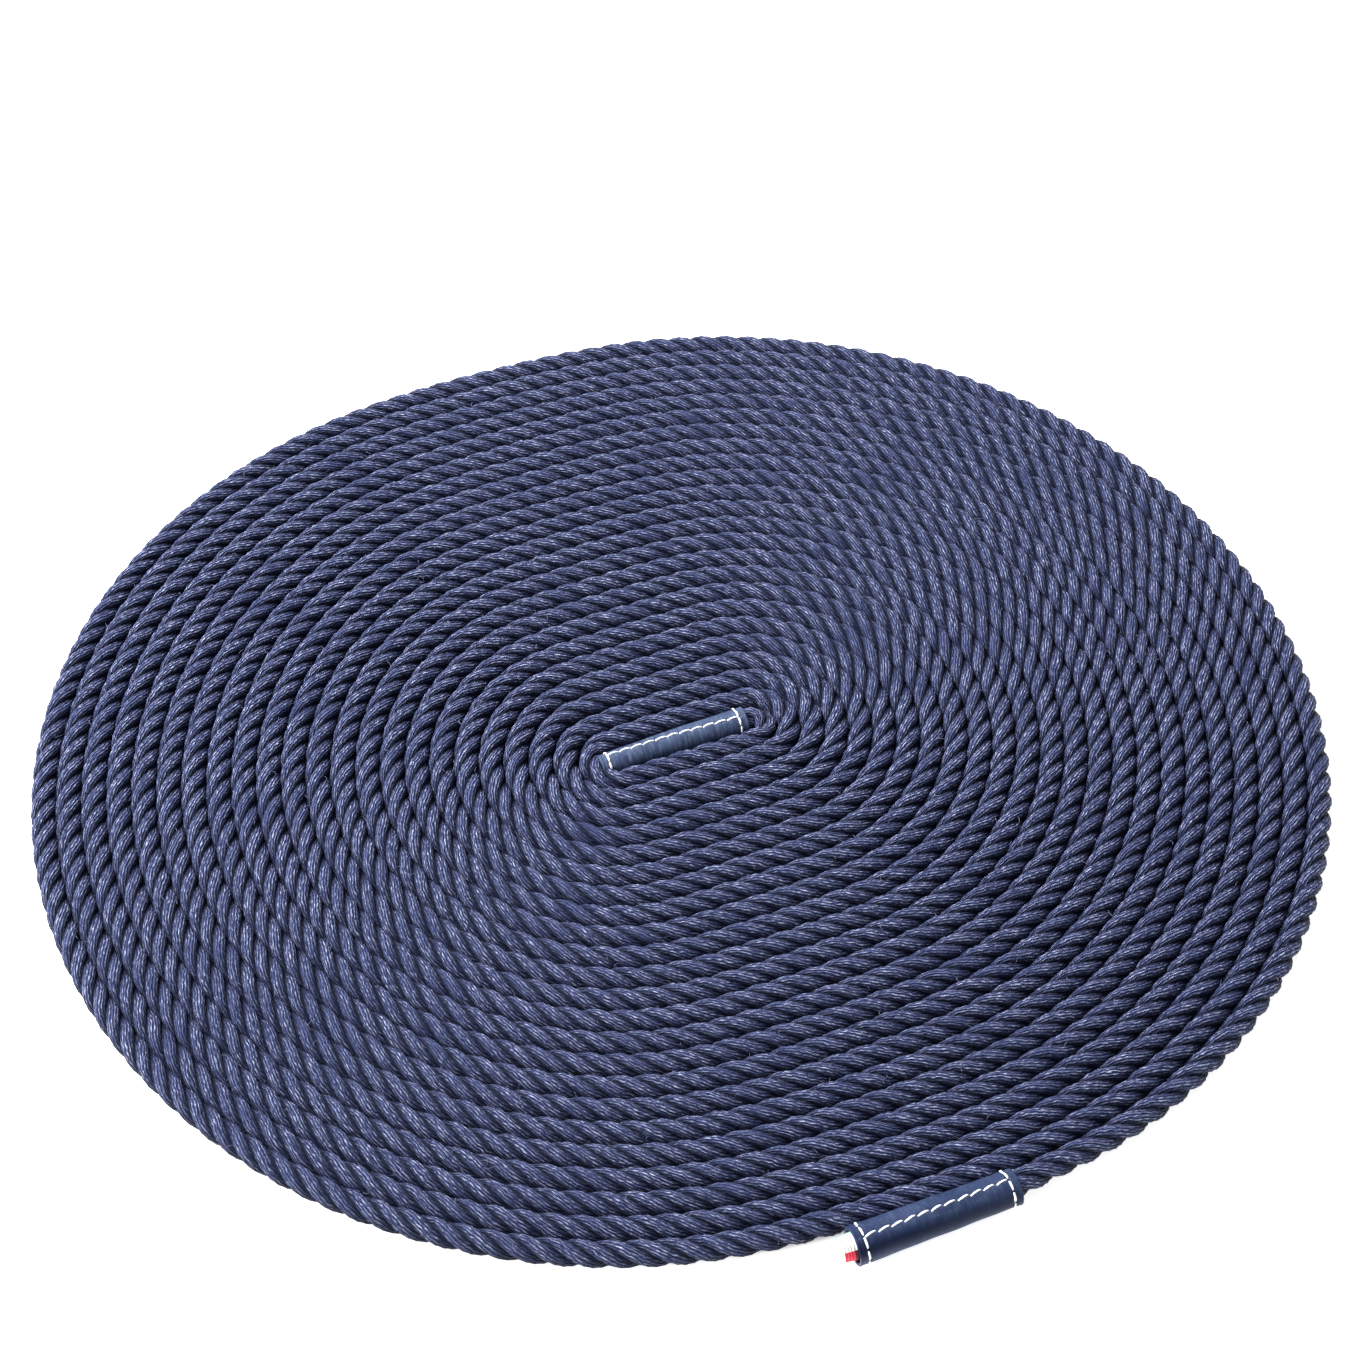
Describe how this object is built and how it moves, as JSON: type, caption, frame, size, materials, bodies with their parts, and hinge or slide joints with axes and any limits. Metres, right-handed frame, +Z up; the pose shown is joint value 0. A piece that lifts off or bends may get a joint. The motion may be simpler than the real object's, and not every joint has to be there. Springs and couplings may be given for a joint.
{
  "type": "coiled dock line",
  "caption": "Three-strand mooring rope wound into a flat oval coil, each end in a stitched leather chafe sleeve, with a small ribbon tab in the outer sleeve.",
  "frame": {"origin": "middle of the whole object's outline seen from above, on the plane it lies on", "axes": "+Z up, +X along both leather sleeves towards the end where the rope leaves them, +Y away from the outer sleeve"},
  "size_m": [0.5304, 0.4875, 0.0149],
  "materials": {
    "rope": "matt, three strands of navy yarn",
    "leather": "smooth, semi-gloss navy",
    "thread": "waxed white thread",
    "ribbon": "ribbed ribbon in red, white and green"
  },
  "bodies": {
    "root": {"rope_coil": "rope", "rope_inner_end": "rope", "rope_outer_end": "rope", "inner_sleeve": "leather", "outer_sleeve": "leather", "inner_seam_stitches": "thread", "outer_seam_stitches": "thread", "inner_ring_stitches": "thread", "outer_ring_stitches": "thread", "ribbon_tab": "ribbon"}
  },
  "joints": []
}
